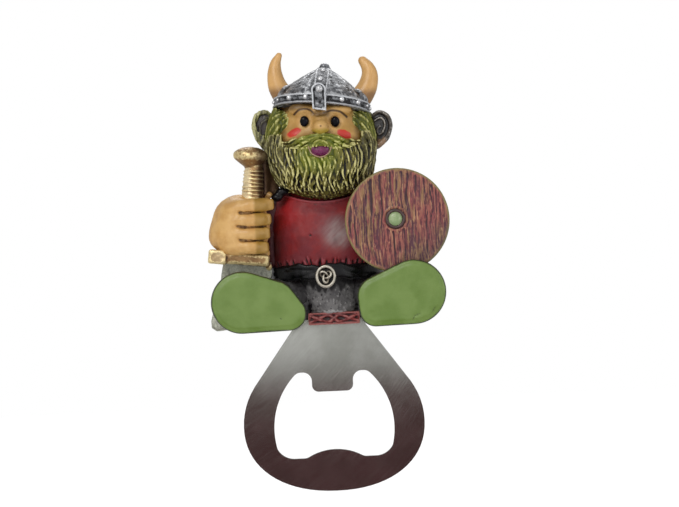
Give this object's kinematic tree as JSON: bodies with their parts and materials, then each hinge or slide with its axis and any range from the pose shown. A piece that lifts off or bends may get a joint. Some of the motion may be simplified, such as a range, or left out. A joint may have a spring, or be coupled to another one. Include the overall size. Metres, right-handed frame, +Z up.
{
  "type": "souvenir bottle opener",
  "caption": "Seated Viking figurine in painted resin with sword and round shield, on a steel crown-cap opener plate, with magnets in its flat back.",
  "frame": {"origin": "centre of the lower magnet's outer face, on the flat back, in the opener plate's plane of symmetry", "axes": "+Z up the figure from the opener plate to the horns, -Y the way the figure faces, +X to the viewer's right, which is the figure's own left"},
  "size_m": [0.0621, 0.0245, 0.1132],
  "materials": {
    "steel_plate": "brushed stainless steel with fine curved scratches",
    "magnet_ferrite": "dull sintered ferrite",
    "epoxy_fill": "struck-off resin adhesive",
    "tunic_red": "semi-gloss red paint with a black wash",
    "skirt_grey": "black paint drybrushed with silver",
    "hem_red": "red paint with pale drybrushed braid",
    "belt_black": "glossy black paint",
    "buckle_silver": "antique silver paint with black recesses",
    "sole_green": "flat green paint with a dark edge",
    "boot_green": "green paint with a dark wash",
    "skin_tan": "tan paint with a brown wash",
    "eye_black": "glossy black paint",
    "mouth_purple": "dark purple paint",
    "beard_olive": "olive paint, black wash in the grooves, cream drybrush",
    "helmet_gunmetal": "gunmetal paint, black wash, silver drybrush",
    "rivet_silver": "silver paint",
    "horn_tan": "tan paint, darker at the root",
    "sword_gold": "antique gold paint, rubbed bright on the ridges",
    "blade_silver": "silver paint",
    "shield_wood": "painted wood grain, tan drybrush on red-brown",
    "boss_ring_brown": "dark brown paint",
    "boss_green": "pale green paint"
  },
  "bodies": {
    "root": {"opener_plate": "steel_plate", "tang_epoxy": "epoxy_fill", "magnet_lower": "magnet_ferrite", "magnet_upper": "magnet_ferrite", "magnet_epoxy": "epoxy_fill", "tunic": "tunic_red", "skirt": "skirt_grey", "hem_braid": "hem_red", "belt": "belt_black", "belt_buckle": "buckle_silver", "shoulder_clasp": "belt_black", "leg_right": "skirt_grey", "leg_left": "skirt_grey", "boot_right": "boot_green", "boot_left": "boot_green", "sole_right": "sole_green", "sole_left": "sole_green", "sleeve_right": "tunic_red", "sleeve_left": "tunic_red", "hand_right": "skin_tan", "hand_left": "skin_tan", "sword_pommel": "sword_gold", "sword_grip": "sword_gold", "sword_guard": "sword_gold", "sword_blade": "blade_silver", "shield_board": "shield_wood", "shield_boss_ring": "boss_ring_brown", "shield_boss": "boss_green", "head": "skin_tan", "nose": "skin_tan", "eye_right": "eye_black", "eye_left": "eye_black", "mouth": "mouth_purple", "moustache": "beard_olive", "beard": "beard_olive", "hair_right": "beard_olive", "hair_left": "beard_olive", "ear_right": "beard_olive", "ear_left": "beard_olive", "helmet_dome": "helmet_gunmetal", "helmet_band": "helmet_gunmetal", "helmet_ridge": "helmet_gunmetal", "nose_guard": "helmet_gunmetal", "helmet_rivets": "rivet_silver", "helmet_finial": "rivet_silver", "horn_right": "horn_tan", "horn_left": "horn_tan"}
  },
  "joints": []
}
